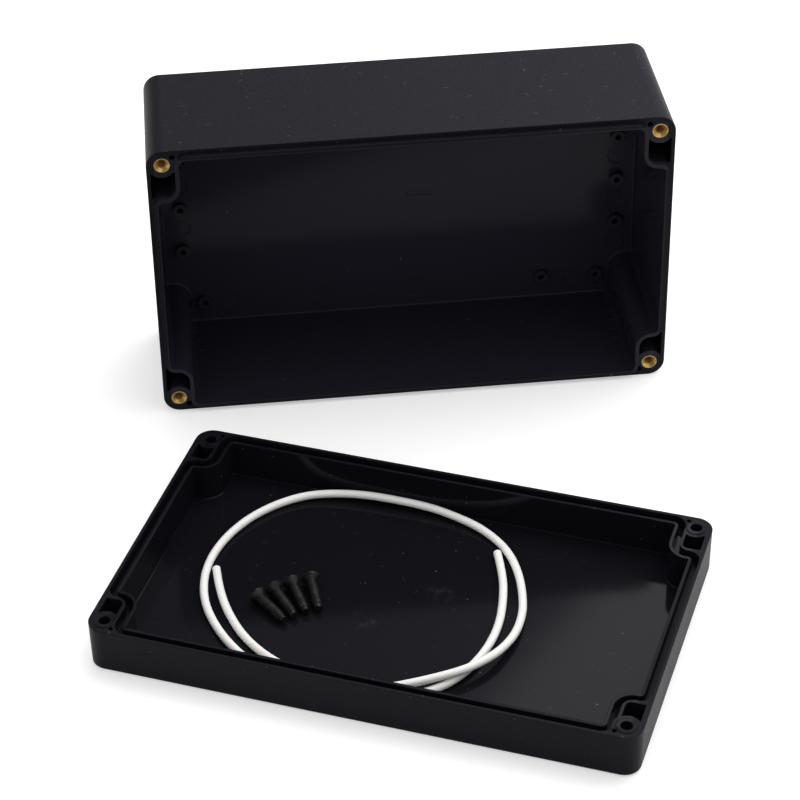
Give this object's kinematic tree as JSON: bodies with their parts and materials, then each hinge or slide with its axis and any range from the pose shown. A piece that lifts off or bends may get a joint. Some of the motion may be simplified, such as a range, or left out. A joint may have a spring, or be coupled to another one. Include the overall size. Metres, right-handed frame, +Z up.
{
  "type": "plastic project box",
  "caption": "Opened black plastic enclosure: deep base on its long side with brass inserts, shallow lid in front holding a coiled seal cord and cover screws.",
  "frame": {"origin": "middle of the base's footprint on the floor, on the outside of the long wall that it stands on", "axes": "+X along the base's length, +Z up, -Y out of the base's open face towards the lid"},
  "size_m": [0.2321, 0.281, 0.12],
  "materials": {
    "abs": "fine matt texture outside, polished inside",
    "seal": "satin white silicone",
    "insert": "turned",
    "screw": "blackened, slightly brown on the thread crests"
  },
  "bodies": {
    "root": {"base": "abs", "lid": "abs", "seal_cord": "seal", "insert_1": "insert", "insert_2": "insert", "insert_3": "insert", "insert_4": "insert", "screw_1": "screw", "screw_2": "screw", "screw_3": "screw", "screw_4": "screw"}
  },
  "joints": []
}
